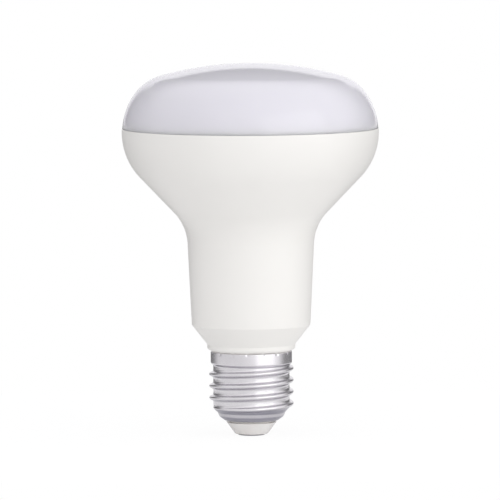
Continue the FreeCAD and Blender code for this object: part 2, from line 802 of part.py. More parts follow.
parts = [make_housing(), make_diffuser(), make_screw_shell(), make_insulator(), make_contact()]
doc.recompute()
for item in doc.Objects:
    if "Invalid" in item.State or "Error" in item.State:
        raise RuntimeError(item.Name + " did not build")
for part in parts:
    if part.Shape.isNull() or not part.Shape.isValid() or len(part.Shape.Solids) != 1:
        raise RuntimeError(part.Label + " is not one sound solid")

os.makedirs("parts", exist_ok=True)
for part in parts:
    part.Shape.exportStep("parts/%s.step" % part.Label)
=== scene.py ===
"""Reflector lamp of the R80 shape with an E27 cap, dressed and lit in a studio.

The lamp stands on its centre contact with +Z along its axis. Sizes in the
classes are millimetres and angles are degrees; meshes are in metres.
"""

import logging
import math
from dataclasses import dataclass
from enum import Enum
from typing import Any

import bpy
from mathutils import Euler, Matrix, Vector


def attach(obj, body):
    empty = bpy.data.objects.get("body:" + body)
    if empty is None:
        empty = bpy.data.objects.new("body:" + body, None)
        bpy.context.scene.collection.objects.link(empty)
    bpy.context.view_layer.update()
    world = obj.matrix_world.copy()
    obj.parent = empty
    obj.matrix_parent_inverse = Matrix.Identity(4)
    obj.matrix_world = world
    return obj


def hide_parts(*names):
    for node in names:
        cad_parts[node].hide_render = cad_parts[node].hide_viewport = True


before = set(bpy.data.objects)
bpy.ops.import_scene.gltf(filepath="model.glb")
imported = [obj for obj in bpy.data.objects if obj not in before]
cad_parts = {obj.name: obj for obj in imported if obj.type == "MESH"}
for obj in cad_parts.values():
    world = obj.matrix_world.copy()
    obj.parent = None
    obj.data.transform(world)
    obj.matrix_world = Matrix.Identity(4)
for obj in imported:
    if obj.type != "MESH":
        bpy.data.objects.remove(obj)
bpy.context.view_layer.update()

LOG = logging.getLogger("reflector_lamp")
MM = 0.001
SAME_POINT_MM = 1e-4
MERGE_GAP_MM = 0.002
SMOOTH_ANGLE = 32.0
CLOUD_DETAIL = 2.0
CLOUD_SHARES = (0.35, 0.65)

Point = tuple[float, float]
Range = tuple[float, float]


# Tools for turning and dressing a piece

def deselect_all() -> None:
    """Leave edit mode and select nothing."""
    if bpy.context.object and bpy.context.object.mode != "OBJECT":
        bpy.ops.object.mode_set(mode="OBJECT")
    bpy.ops.object.select_all(action="DESELECT")


def ease(value: float) -> float:
    """Return a smooth step from 0 to 1."""
    value = min(max(value, 0.0), 1.0)
    return value * value * (3 - 2 * value)


def arc_points(centre: Point, radius: float, start: float, end: float,
               steps: int) -> list[Point]:
    """Return points along an arc.

    Args:
        centre: the arc's centre as radius from the axis and height.
        radius: the arc's radius.
        start: the first point's angle.
        end: the last point's angle.
        steps: how many equal steps lie between them.

    Returns:
        The points, both ends included.
    """
    angles = [math.radians(start + (end - start) * k / steps) for k in range(steps + 1)]
    return [(centre[0] + radius * math.cos(a), centre[1] + radius * math.sin(a)) for a in angles]


def line_points(start: Point, end: Point, steps: int) -> list[Point]:
    """Return points along a straight line.

    Args:
        start: the first point.
        end: the last point.
        steps: how many equal steps lie between them.

    Returns:
        The points, both ends included.
    """
    return [(start[0] + (end[0] - start[0]) * k / steps,
             start[1] + (end[1] - start[1]) * k / steps) for k in range(steps + 1)]


def turn_outline(name: str, outline: list[Point], steps: int,
                 smooth_angle: float = SMOOTH_ANGLE) -> bpy.types.Object:
    """Turn a half outline round the lamp's axis, as on a lathe.

    Args:
        name: the new piece's name.
        outline: points of radius and height, outside face first.
        steps: how many segments the full turn has.
        smooth_angle: edges sharper than this stay crisp.

    Returns:
        The turned piece, its object at the origin.
    """
    points = [outline[0]]
    for point in outline[1:]:
        if math.dist(point, points[-1]) > SAME_POINT_MM:
            points.append(point)
    deselect_all()
    first = Vector((points[0][0], 0.0, points[0][1])) * MM
    bpy.ops.mesh.primitive_plane_add(size=MM, location=(0.0, 0.0, 0.0))
    piece = bpy.context.object
    piece.name = piece.data.name = name
    bpy.ops.object.mode_set(mode="EDIT")
    bpy.ops.mesh.select_all(action="SELECT")
    bpy.ops.mesh.merge(type="CENTER")
    bpy.ops.transform.translate(value=first)
    for before, after in zip(points, points[1:]):
        step = Vector((after[0] - before[0], 0.0, after[1] - before[1])) * MM
        bpy.ops.mesh.extrude_region_move(TRANSFORM_OT_translate={"value": step})
    bpy.ops.mesh.select_all(action="SELECT")
    bpy.ops.mesh.spin(steps=steps, angle=2 * math.pi, center=(0.0, 0.0, 0.0),
                      axis=(0.0, 0.0, 1.0))
    bpy.ops.mesh.select_all(action="SELECT")
    bpy.ops.mesh.remove_doubles(threshold=MERGE_GAP_MM * MM)
    bpy.ops.mesh.normals_make_consistent(inside=False)
    bpy.ops.object.mode_set(mode="OBJECT")
    bpy.ops.object.shade_smooth_by_angle(angle=math.radians(smooth_angle))
    return piece


def place_piece(piece: bpy.types.Object, node: str,
                material: bpy.types.Material) -> None:
    """Dress a finished piece and let it stand for its CAD node.

    Args:
        piece: the finished piece.
        node: the CAD node that it replaces.
        material: its finish.
    """
    piece.data.materials.clear()
    piece.data.materials.append(material)
    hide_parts(node)
    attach(piece, "root")
    LOG.info("%s: %d faces", piece.name, len(piece.data.polygons))


# Finishes

def linear(code: str) -> tuple[float, float, float, float]:
    """Turn an sRGB hex colour into linear red, green, blue and alpha.

    Args:
        code: six hex digits.

    Returns:
        The linear colour with full alpha.
    """
    parts = [int(code[k:k + 2], 16) / 255 for k in (0, 2, 4)]
    values = [p / 12.92 if p <= 0.04045 else ((p + 0.055) / 1.055) ** 2.4 for p in parts]
    return (values[0], values[1], values[2], 1.0)


def add_node(tree: bpy.types.NodeTree, kind: str, settings: dict[str, Any] | None = None,
             inputs: dict[Any, Any] | None = None) -> bpy.types.Node:
    """Add a node with its settings, values and links.

    Args:
        tree: the node tree.
        kind: the node's type name.
        settings: attributes to set on the node.
        inputs: for each input, a value or the socket that feeds it.

    Returns:
        The new node.
    """
    node = tree.nodes.new(kind)
    for key, value in (settings or {}).items():
        setattr(node, key, value)
    for key, value in (inputs or {}).items():
        if isinstance(value, bpy.types.NodeSocket):
            tree.links.new(value, node.inputs[key])
        else:
            node.inputs[key].default_value = value
    return node


def new_material(name: str) -> tuple[bpy.types.Material, bpy.types.NodeTree]:
    """Start an empty node material.

    Args:
        name: the material's name.

    Returns:
        The material and its node tree.
    """
    material = bpy.data.materials.new(name)
    material.use_nodes = True
    material.node_tree.nodes.clear()
    return material, material.node_tree


def varied_colour(tree: bpy.types.NodeTree, low: str, high: str,
                  size_mm: float) -> bpy.types.NodeSocket:
    """Blend two close shades by a soft cloud of a real size.

    Args:
        tree: the material's nodes.
        low: the darker shade's sRGB hex.
        high: the lighter shade's sRGB hex.
        size_mm: how wide one cloud is.

    Returns:
        The colour socket.
    """
    place = add_node(tree, "ShaderNodeTexCoord")
    cloud = add_node(tree, "ShaderNodeTexNoise", {}, {
        "Vector": place.outputs["Object"], "Scale": 1 / (size_mm * MM),
        "Detail": CLOUD_DETAIL})
    ramp = add_node(tree, "ShaderNodeValToRGB", {}, {"Fac": cloud.outputs["Fac"]})
    # most of the noise lies between these two shares, so both shades show
    for element, share, shade in zip(ramp.color_ramp.elements, CLOUD_SHARES, (low, high)):
        element.position = share
        element.color = linear(shade)
    return ramp.outputs["Color"]


@dataclass(frozen=True)
class OpalPolycarbonate:
    """Injection moulded opal polycarbonate with a polished outside.

    It gives a deep gloss over a milky, faintly lilac body that light enters.
    """

    shade: str = "DEDDE2"
    light_shade: str = "E1E0E5"
    cloud_mm: float = 30.0
    roughness: float = 0.07
    ior: float = 1.586
    ripple_mm: float = 9.0
    ripple_detail: float = 1.0
    ripple_strength: float = 1.0
    ripple_height_mm: float = 0.001
    milk_share: float = 1.0
    milk_mm: float = 4.5
    milk_colour: tuple[float, float, float] = (1.0, 0.97, 1.03)

    def build(self) -> bpy.types.Material:
        """Make the material.

        Returns:
            The material.
        """
        material, tree = new_material("opal_polycarbonate")
        place = add_node(tree, "ShaderNodeTexCoord")
        # the mould's polish leaves a very slow ripple in the reflections
        ripple = add_node(tree, "ShaderNodeTexNoise", {}, {
            "Vector": place.outputs["Object"], "Scale": 1 / (self.ripple_mm * MM),
            "Detail": self.ripple_detail})
        bump = add_node(tree, "ShaderNodeBump", {}, {
            "Height": ripple.outputs["Fac"], "Strength": self.ripple_strength,
            "Distance": self.ripple_height_mm * MM})
        shader = add_node(tree, "ShaderNodeBsdfPrincipled", {}, {
            "Base Color": varied_colour(tree, self.shade, self.light_shade, self.cloud_mm),
            "Roughness": self.roughness, "IOR": self.ior, "Normal": bump.outputs["Normal"],
            "Subsurface Weight": self.milk_share, "Subsurface Radius": self.milk_colour,
            "Subsurface Scale": self.milk_mm * MM})
        add_node(tree, "ShaderNodeOutputMaterial", {}, {"Surface": shader.outputs["BSDF"]})
        return material


@dataclass(frozen=True)
class SatinThermoplastic:
    """White PBT moulded against a finely blasted steel tool.

    It gives an even off-white with a broad soft sheen and no sharp reflection.
    """

    shade: str = "EFEEE9"
    light_shade: str = "F1F0EB"
    cloud_mm: float = 25.0
    roughness: float = 0.42
    ior: float = 1.51
    grain_mm: float = 0.35
    grain_detail: float = 2.0
    grain_strength: float = 0.6
    grain_height_mm: float = 0.002

    def build(self) -> bpy.types.Material:
        """Make the material.

        Returns:
            The material.
        """
        material, tree = new_material("satin_thermoplastic")
        place = add_node(tree, "ShaderNodeTexCoord")
        # the blasted grain is 0.05 mm wide; it is drawn at 0.35 mm so that it shows at all
        grain = add_node(tree, "ShaderNodeTexNoise", {}, {
            "Vector": place.outputs["Object"], "Scale": 1 / (self.grain_mm * MM),
            "Detail": self.grain_detail})
        bump = add_node(tree, "ShaderNodeBump", {}, {
            "Height": grain.outputs["Fac"], "Strength": self.grain_strength,
            "Distance": self.grain_height_mm * MM})
        shader = add_node(tree, "ShaderNodeBsdfPrincipled", {}, {
            "Base Color": varied_colour(tree, self.shade, self.light_shade, self.cloud_mm),
            "Roughness": self.roughness, "IOR": self.ior, "Normal": bump.outputs["Normal"]})
        add_node(tree, "ShaderNodeOutputMaterial", {}, {"Surface": shader.outputs["BSDF"]})
        return material


@dataclass(frozen=True)
class NickelPlate:
    """Bright nickel on thin rolled sheet.

    It mirrors the room in long bands, a little softened along the rolling lines.
    What faces down carries a painted shade: the turned-in taper is darkened fully,
    and the lower flanks of the thread take half of it, painted as dark lines under the crests.
    """

    shade: str = "E2E0E2"
    light_shade: str = "E7E5E7"
    cloud_mm: float = 6.0
    painted_shade: str = "A6A5AF"
    painted_shade_facing: Range = (-0.7, -0.1)
    thread_shade_share: float = 0.5
    thread_foot_mm: Range = (8.0, 9.0)
    roughness: float = 0.24
    line_mm: float = 0.3
    line_stretch: float = 0.02
    line_detail: float = 3.0
    line_strength: float = 0.5
    line_height_mm: float = 0.0015

    def build(self, name: str) -> bpy.types.Material:
        """Make the material.

        Args:
            name: the material's name.

        Returns:
            The material.
        """
        material, tree = new_material(name)
        place = add_node(tree, "ShaderNodeTexCoord")
        # rolling leaves fine lines round the axis, so the pattern is stretched round it
        stretch = add_node(tree, "ShaderNodeMapping", {}, {
            "Vector": place.outputs["Object"],
            "Scale": (self.line_stretch, self.line_stretch, 1.0)})
        lines = add_node(tree, "ShaderNodeTexNoise", {}, {
            "Vector": stretch.outputs["Vector"], "Scale": 1 / (self.line_mm * MM),
            "Detail": self.line_detail})
        bump = add_node(tree, "ShaderNodeBump", {}, {
            "Height": lines.outputs["Fac"], "Strength": self.line_strength,
            "Distance": self.line_height_mm * MM})
        # painted shade: what faces down gets a darker colour in place of the shade it would catch
        # from the floor under the lamp
        facing = add_node(tree, "ShaderNodeSeparateXYZ", {}, {0: place.outputs["Normal"]})
        facing_down_shade = add_node(tree, "ShaderNodeMapRange", {"interpolation_type": "SMOOTHSTEP"}, {
            "Value": facing.outputs["Z"], "From Min": self.painted_shade_facing[0],
            "From Max": self.painted_shade_facing[1], "To Min": 1.0, "To Max": 0.0})
        # above the thread's foot the painted shade drops to half, which paints dark lines on the
        # thread's lower flanks
        height = add_node(tree, "ShaderNodeSeparateXYZ", {}, {0: place.outputs["Object"]})
        low = add_node(tree, "ShaderNodeMapRange", {}, {
            "Value": height.outputs["Z"], "From Min": self.thread_foot_mm[0] * MM,
            "From Max": self.thread_foot_mm[1] * MM, "To Min": 1.0, "To Max": self.thread_shade_share})
        painted_shade_share = add_node(tree, "ShaderNodeMath", {"operation": "MULTIPLY"}, {
            0: facing_down_shade.outputs[0], 1: low.outputs[0]})
        colour = add_node(tree, "ShaderNodeMix", {"data_type": "RGBA"}, {
            0: painted_shade_share.outputs[0],
            6: varied_colour(tree, self.shade, self.light_shade, self.cloud_mm),
            7: linear(self.painted_shade)})
        shader = add_node(tree, "ShaderNodeBsdfPrincipled", {}, {
            "Base Color": colour.outputs[2], "Metallic": 1.0, "Roughness": self.roughness,
            "Normal": bump.outputs["Normal"]})
        add_node(tree, "ShaderNodeOutputMaterial", {}, {"Surface": shader.outputs["BSDF"]})
        return material


@dataclass(frozen=True)
class InsulatorCeramic:
    """White moulded insulator with a fired, glossy skin.

    It gives a clean, slightly warm white that light enters a little.
    """

    shade: str = "F2EFEB"
    light_shade: str = "F5F3EF"
    cloud_mm: float = 5.0
    roughness: float = 0.2
    ior: float = 1.55
    pore_mm: float = 0.6
    pore_detail: float = 3.0
    pore_strength: float = 0.5
    pore_height_mm: float = 0.004
    body_share: float = 0.2
    body_mm: float = 0.8
    body_colour: tuple[float, float, float] = (1.0, 0.95, 0.9)

    def build(self) -> bpy.types.Material:
        """Make the material.

        Returns:
            The material.
        """
        material, tree = new_material("insulator_ceramic")
        place = add_node(tree, "ShaderNodeTexCoord")
        pores = add_node(tree, "ShaderNodeTexNoise", {}, {
            "Vector": place.outputs["Object"], "Scale": 1 / (self.pore_mm * MM),
            "Detail": self.pore_detail})
        bump = add_node(tree, "ShaderNodeBump", {}, {
            "Height": pores.outputs["Fac"], "Strength": self.pore_strength,
            "Distance": self.pore_height_mm * MM})
        shader = add_node(tree, "ShaderNodeBsdfPrincipled", {}, {
            "Base Color": varied_colour(tree, self.shade, self.light_shade, self.cloud_mm),
            "Roughness": self.roughness, "IOR": self.ior, "Normal": bump.outputs["Normal"],
            "Subsurface Weight": self.body_share, "Subsurface Radius": self.body_colour,
            "Subsurface Scale": self.body_mm * MM})
        add_node(tree, "ShaderNodeOutputMaterial", {}, {"Surface": shader.outputs["BSDF"]})
        return material


# Pieces

@dataclass
class Head:
    """The lamp's moulded head: housing and diffuser, which share the rim."""

    rim_radius: float = 39.37
    belly_height: float = 93.2
    belly_arc: float = 20.0
    flare_angle: float = 43.7
    throat_arc: float = 15.0
    neck_radius: float = 18.2
    neck_draft: float = 2.7
    neck_height: float = 34.0
    neck_edge_round: float = 0.5
    collar_height: float = 28.0
    collar_radius: float = 13.5
    collar_round: float = 0.9
    collar_bottom: float = 26.25
    spigot_radius: float = 11.35
    spigot_foot: float = 9.05
    shoulder_radius: float = 12.12
    shoulder_rise: float = 0.3
    band_bottom: float = 22.3
    seam_height: float = 94.3
    rim_wall: float = 2.0
    rim_edge_round: float = 0.2
    plug_depth: float = 3.0
    top_height: float = 114.2
    crown_arc: float = 103.5
    shoulder_arc: float = 14.0
    side_arc: float = 20.1
    seam_step: float = 0.15
    seam_gap: float = 0.02
    diffuser_edge_round: float = 0.05
    fit: float = 0.05
    segments: int = 224
    edge_steps: int = 6
    neck_steps: int = 10
    throat_steps: int = 22
    flare_steps: int = 8
    belly_steps: int = 30
    lip_steps: int = 2
    collar_steps: int = 10
    foot_steps: int = 5
    side_steps: int = 24
    shoulder_steps: int = 36
    crown_steps: int = 24

    def neck_edge(self, lean: float) -> list[Point]:
        """Round the neck's lower edge into the chamfer.

        Args:
            lean: the neck's draft in radians.

        Returns:
            Points from the chamfer up to the neck.
        """
        chamfer = math.atan2(self.neck_radius - self.collar_radius,
                             self.neck_height - self.collar_height)
        radius = self.neck_edge_round
        reach = radius * math.tan((chamfer - lean) / 2)
        centre = (self.neck_radius + reach * math.sin(lean) - radius * math.cos(lean),
                  self.neck_height + reach * math.cos(lean) + radius * math.sin(lean))
        return arc_points(centre, radius, -math.degrees(chamfer), -self.neck_draft,
                          self.edge_steps)

    def flare_outline(self) -> list[Point]:
        """Draw the neck, throat, flare and belly.

        Returns:
            Points from the chamfer up to the seam.
        """
        lean, flare = math.radians(self.neck_draft), math.radians(self.flare_angle)
        centre = (self.rim_radius - self.belly_arc, self.belly_height)
        belly = (centre[0] + self.belly_arc * math.cos(flare),
                 centre[1] - self.belly_arc * math.sin(flare))
        # the flare is tangent to the belly, and meets the neck's line in the corner
        rise, run = belly[1] - self.neck_height, belly[0] - self.neck_radius
        along = (rise * math.sin(flare) - run * math.cos(flare)) / math.sin(flare - lean)
        corner = (self.neck_radius + along * math.sin(lean),
                  self.neck_height + along * math.cos(lean))
        # the throat's arc rounds that corner off
        reach = self.throat_arc * math.tan((flare - lean) / 2)
        neck_top = (corner[0] - reach * math.sin(lean), corner[1] - reach * math.cos(lean))
        foot = (corner[0] + reach * math.sin(flare), corner[1] + reach * math.cos(flare))
        throat = (neck_top[0] + self.throat_arc * math.cos(lean),
                  neck_top[1] - self.throat_arc * math.sin(lean))
        seam_angle = math.degrees(math.asin((self.seam_height - self.belly_height)
                                            / self.belly_arc))
        edge = self.neck_edge(lean)
        return (edge
                + line_points(edge[-1], neck_top, self.neck_steps)[1:]
                + arc_points(throat, self.throat_arc, 180 - self.neck_draft,
                             180 - self.flare_angle, self.throat_steps)[1:]
                + line_points(foot, belly, self.flare_steps)[1:]
                + arc_points(centre, self.belly_arc, -self.flare_angle, seam_angle,
                             self.belly_steps)[1:])

    def housing_outline(self) -> list[Point]:
        """Draw the housing's half outline.

        Returns:
            Points from the spigot's foot, up the outside, to the mouth's floor.
        """
        lip = self.collar_radius - self.collar_round
        plug = self.rim_radius - self.rim_wall
        floor = self.seam_height - self.plug_depth
        side = self.flare_outline()
        rim_foot = self.seam_height - self.rim_edge_round
        rim_round = arc_points((side[-1][0] - self.rim_edge_round, rim_foot),
                               self.rim_edge_round, 0, 90, self.edge_steps)
        side = [point for point in side if point[1] < rim_foot]
        return ([(0.0, self.spigot_foot), (self.spigot_radius, self.spigot_foot),
                 (self.spigot_radius, self.band_bottom),
                 (self.shoulder_radius, self.band_bottom + self.shoulder_rise),
                 (self.shoulder_radius, self.collar_bottom)]
                + line_points((self.shoulder_radius, self.collar_bottom),
                              (lip, self.collar_bottom), self.lip_steps)
                + arc_points((lip, self.collar_bottom + self.collar_round),
                             self.collar_round, 270, 360, self.collar_steps)[1:]
                + [(self.collar_radius, self.collar_height)]
                + side + rim_round
                + [(plug, self.seam_height), (plug, floor), (0.0, floor)])

    def dome_outline(self) -> list[Point]:
        """Draw the diffuser's half outline.

        Returns:
            Points from the plug's floor to the crown.
        """
        foot = self.seam_height + self.seam_gap
        plug = self.rim_radius - self.rim_wall - self.fit
        floor = self.seam_height - self.plug_depth + self.fit
        side = (self.rim_radius - self.seam_step - self.side_arc, self.belly_height)
        crown = (0.0, self.top_height - self.crown_arc)
        # the shoulder's arc is tangent to the crown's and to the side's
        apart = math.dist(side, crown)
        to_crown, to_side = self.crown_arc - self.shoulder_arc, self.side_arc - self.shoulder_arc
        share = (to_crown ** 2 - to_side ** 2 + apart ** 2) / (2 * apart)
        aside = math.sqrt(to_crown ** 2 - share ** 2)
        towards = ((side[0] - crown[0]) / apart, (side[1] - crown[1]) / apart)
        shoulder = (share * towards[0] + aside * towards[1],
                    crown[1] + share * towards[1] - aside * towards[0])
        side_end = math.degrees(math.atan2(shoulder[1] - side[1], shoulder[0] - side[0]))
        crown_start = math.degrees(math.atan2(shoulder[1] - crown[1], shoulder[0]))
        start = math.degrees(math.asin((foot - self.belly_height) / self.side_arc))
        edge = arc_points(side, self.side_arc, start, side_end, self.side_steps)
        radius = self.diffuser_edge_round
        foot_round = arc_points((edge[0][0] - radius, foot + radius), radius, 270, 360,
                                self.foot_steps)
        edge = [point for point in edge if point[1] > foot + radius]
        return ([(0.0, floor), (plug, floor), (plug, foot)] + foot_round + edge
                + arc_points(shoulder, self.shoulder_arc, side_end, crown_start,
                             self.shoulder_steps)[1:]
                + arc_points(crown, self.crown_arc, crown_start, 90, self.crown_steps)[1:])

    def build(self, housing: bpy.types.Material, diffuser: bpy.types.Material) -> None:
        """Model and dress both pieces.

        Args:
            housing: the housing's finish.
            diffuser: the diffuser's finish.
        """
        body = turn_outline("housing_body", self.housing_outline(), self.segments)
        place_piece(body, "housing", housing)
        dome = turn_outline("diffuser_dome", self.dome_outline(), self.segments)
        place_piece(dome, "diffuser", diffuser)


@dataclass
class ScrewCap:
    """The E27 cap: rolled shell, insulator and centre contact.

    The inside of the sheet follows the outside at a set distance, and the
    lean and rise values are shares of that distance at the sheet's corners.
    Turns of the thread are counted from its first crest.
    """

    sheet: float = 0.3
    shell_top: float = 26.1
    band_radius: float = 12.47
    band_bottom: float = 22.3
    root_radius: float = 11.7
    crest_radius: float = 12.95
    crest_arc: float = 0.6
    thread_width: float = 3.0
    pitch: float = 3.629
    first_crest: float = 6.071
    start_turn: float = 0.39
    end_turn: float = 4.49
    start_fade: float = 0.53
    end_fade: float = 0.4
    thread_overlap: float = 0.5
    taper_top: float = 8.45
    taper_round: float = 0.7
    ledge_radius: float = 10.4
    ledge_height: float = 7.05
    ledge_round: float = 0.3
    knee_radius: float = 9.95
    knee_height: float = 5.8
    knee_round: float = 1.4
    mouth_radius: float = 8.35
    mouth_height: float = 4.65
    mouth_lean: float = 1.4
    taper_lean: float = 1.1
    taper_rise: float = 0.3
    band_rise: float = 0.4
    edge_lean: float = 0.5
    edge_roll: float = 0.35
    edge_round: float = 0.3
    step_round: float = 0.4
    stake_count: int = 16
    stake_angle: float = 16.9
    stake_radius: float = 0.7
    stake_depth: float = 0.22
    stake_length: float = 1.1
    stake_ramp: float = 0.35
    stake_clear: float = 1.0
    groove_radius: float = 6.6
    groove_lower_rise: float = 0.05
    groove_upper_rise: float = 0.1
    cone_radius: float = 7.69
    cone_top: float = 4.0
    nose_angle: float = 36.2
    nose_round: float = 0.7
    insulator_top: float = 9.0
    contact_radius: float = 4.1
    contact_thickness: float = 0.35
    contact_round: float = 0.2
    contact_flat: float = 1.0
    pin_radius: float = 1.2
    pin_top: float = 8.0
    fit: float = 0.05
    shell_segments: int = 288
    shell_crease: float = 50.0
    segments: int = 128
    outside_spacing: float = 0.13
    inside_spacing: float = 1.5
    insulator_spacing: float = 0.8
    fewest_steps: int = 2
    fewest_bends: int = 3
    wall_slack: float = 0.02
    level_digits: int = 4
    nose_steps: int = 8
    cone_steps: int = 6
    contact_steps: int = 6
    face_steps: int = 3

    def bent_wall(self, corners: list[Point], rounds: list[float], spacing: float) -> list[Point]:
        """Draw a bent line with rounded corners.

        Args:
            corners: the sharp corners, both ends included.
            rounds: the radius at each corner between the ends.
            spacing: the step between points.

        Returns:
            Points along the line.
        """
        points = [corners[0]]
        for before, corner, after, radius in zip(corners, corners[1:], corners[2:], rounds):
            first = Vector(before) - Vector(corner)
            second = Vector(after) - Vector(corner)
            turn = math.pi - first.angle(second)
            reach = radius * math.tan(turn / 2)
            start = Vector(corner) + first.normalized() * reach
            end = Vector(corner) + second.normalized() * reach
            count = max(self.fewest_steps,
                        round((start - Vector(points[-1])).length / spacing))
            points += line_points(points[-1], tuple(start), count)[1:]
            inward = (first.normalized() + second.normalized()).normalized()
            middle = Vector(corner) + inward * (radius / math.cos(turn / 2))
            a, b = start - middle, end - middle
            bends = max(self.fewest_bends, round(radius * turn / spacing))
            for k in range(1, bends + 1):
                share = k / bends
                swing = turn * share * (1 if a.x * b.y - a.y * b.x > 0 else -1)
                points.append((middle.x + a.x * math.cos(swing) - a.y * math.sin(swing),
                               middle.y + a.x * math.sin(swing) + a.y * math.cos(swing)))
        count = max(self.fewest_steps,
                    round((Vector(corners[-1]) - Vector(points[-1])).length / spacing))
        return points + line_points(points[-1], corners[-1], count)[1:]

    def shell_corners(self, inset: float) -> list[Point]:
        """Return the shell's corners from its mouth to its top edge.

        Args:
            inset: how far they are set in from the outside.

        Returns:
            The sharp corners.
        """
        step = self.band_radius - self.root_radius
        lean, rise = self.taper_lean * inset, self.taper_rise * inset
        lift = self.band_rise * inset
        return [(self.mouth_radius - self.mouth_lean * inset, self.mouth_height),
                (self.knee_radius - lean, self.knee_height + rise),
                (self.ledge_radius - lean, self.ledge_height + rise),
                (self.root_radius - inset, self.taper_top + rise),
                (self.root_radius - inset, self.band_bottom - step + lift),
                (self.band_radius - inset, self.band_bottom + lift),
                (self.band_radius - inset, self.shell_top - self.edge_roll),
                (self.band_radius - self.edge_roll - self.edge_lean * inset, self.shell_top)]

    def thread_lift(self, across: float) -> float:
        """Return how far the thread stands out of the root, off the crest's middle.

        Args:
            across: the height above or below the crest's middle line.

        Returns:
            The lift above the root.
        """
        depth, half = self.crest_radius - self.root_radius, self.thread_width / 2
        slope = 2 * math.atan2(depth, half)
        root = half / math.sin(slope) - self.crest_arc
        across = abs(across)
        if across >= half:
            return 0.0
        if across < self.crest_arc * math.sin(slope):
            return depth - self.crest_arc + math.sqrt(self.crest_arc ** 2 - across ** 2)
        return root - math.sqrt(max(root ** 2 - (half - across) ** 2, 0.0))

    def thread_at(self, angle: float, height: float) -> float:
        """Return the thread's lift at one place on the shell.

        Args:
            angle: degrees round the axis from +X.
            height: height above the contact's face.

        Returns:
            The lift above the plain wall.
        """
        turn = (angle % 360) / 360
        level = (height - self.first_crest) / self.pitch - turn
        nearest = round(level)
        along = nearest + turn
        fade = (ease((along - self.start_turn) / self.start_fade)
                * ease((self.end_turn - along) / self.end_fade))
        return fade * self.thread_lift((level - nearest) * self.pitch)

    def dent_at(self, angle: float, height: float) -> float:
        """Return how far a punched stake presses the band in at one place.

        Args:
            angle: degrees round the axis from +X.
            height: height above the contact's face.

        Returns:
            The depth of the dent.
        """
        spacing = 360 / self.stake_count
        off = (angle - self.stake_angle + spacing / 2) % spacing - spacing / 2
        sideways = self.band_radius * math.sin(math.radians(off))
        if abs(sideways) >= self.stake_radius:
            return 0.0
        centre = self.band_radius + self.stake_radius - self.stake_depth
        floor = centre - math.sqrt(self.stake_radius ** 2 - sideways ** 2)
        begin = self.shell_top - self.stake_length
        return max(0.0, self.band_radius - floor) * ease((height - begin) / self.stake_ramp)

    @staticmethod
    def wall_radius(outside: list[Point], height: float) -> float:
        """Return the plain wall's radius at one height.

        Args:
            outside: the wall's outline, from its mouth up.
            height: height above the contact's face.

        Returns:
            The radius.
        """
        slack, least_rise = 1e-6, 1e-9
        for (r0, z0), (r1, z1) in zip(outside, outside[1:]):
            if z0 - slack <= height <= z1 + slack:
                return r0 + (r1 - r0) * (height - z0) / max(z1 - z0, least_rise)
        return outside[-1][0]

    def roll_and_punch(self, shell: bpy.types.Object, outside: list[Point]) -> None:
        """Roll the thread and punch the stakes into the shell's outside.

        Args:
            shell: the turned shell, still plain.
            outside: its outside outline.
        """
        walls: dict[float, float] = {}
        for vertex in shell.data.vertices:
            radius = math.hypot(vertex.co.x, vertex.co.y) / MM
            height = vertex.co.z / MM
            level = round(height, self.level_digits)
            if level not in walls:
                walls[level] = self.wall_radius(outside, height)
            wall = walls[level]
            if abs(radius - wall) >= self.wall_slack:
                continue
            angle = math.degrees(math.atan2(vertex.co.y, vertex.co.x))
            lift = dent = 0.0
            if height < self.band_bottom + self.thread_overlap:
                lift = self.thread_at(angle, height)
            # where the wall already stands out of the root, the thread runs into it
            lift = max(lift - max(wall - self.root_radius, 0.0), 0.0)
            if height > self.band_bottom + self.stake_clear:
                dent = self.dent_at(angle, height)
            share = (radius + lift - dent) / radius
            vertex.co.x *= share
            vertex.co.y *= share
        shell.data.update()

    def build_shell(self, material: bpy.types.Material) -> None:
        """Turn the shell's sheet, then roll its thread and punch its stakes.

        Args:
            material: the shell's finish.
        """
        # the top edge is rolled in a little, which leaves a dark line under the collar
        rounds = [self.knee_round, self.ledge_round, self.taper_round,
                  self.step_round, self.step_round, self.edge_round]
        outside = self.bent_wall(self.shell_corners(0.0), rounds, self.outside_spacing)
        inside = self.bent_wall(self.shell_corners(self.sheet), rounds, self.inside_spacing)
        outline = outside + list(reversed(inside)) + [outside[0]]
        shell = turn_outline("screw_shell", outline, self.shell_segments, self.shell_crease)
        self.roll_and_punch(shell, outside)
        place_piece(shell, "cap_shell", material)

    def insulator_outline(self) -> list[Point]:
        """Draw the insulator's half outline.

        Returns:
            Points of a closed ring round the pin's bore.
        """
        nose = self.contact_thickness + self.fit
        bore = self.pin_radius + self.fit
        slope = math.tan(math.radians(self.nose_angle))
        nose_radius = self.cone_radius - (self.cone_top - nose) * slope
        # the nose's edge is rounded between the flat and the cone
        turn = math.radians(90 - self.nose_angle)
        reach = self.nose_round * math.tan(turn / 2)
        centre = (nose_radius - reach, nose + self.nose_round)
        edge = arc_points(centre, self.nose_round, 270, 270 + math.degrees(turn),
                          self.nose_steps)
        inner = self.shell_corners(self.sheet + self.fit)
        wall = self.bent_wall(inner[:4] + [(inner[3][0], self.insulator_top)],
                              [self.knee_round, self.ledge_round, self.taper_round],
                              self.insulator_spacing)
        # a narrow groove under the shell's edge shows as a dark line
        groove = [(self.groove_radius, self.cone_top + self.groove_lower_rise),
                  (self.groove_radius, self.mouth_height + self.groove_upper_rise)]
        return ([(bore, nose)] + edge
                + line_points(edge[-1], (self.cone_radius, self.cone_top), self.cone_steps)[1:]
                + groove + wall[1:] + [(bore, self.insulator_top), (bore, nose)])

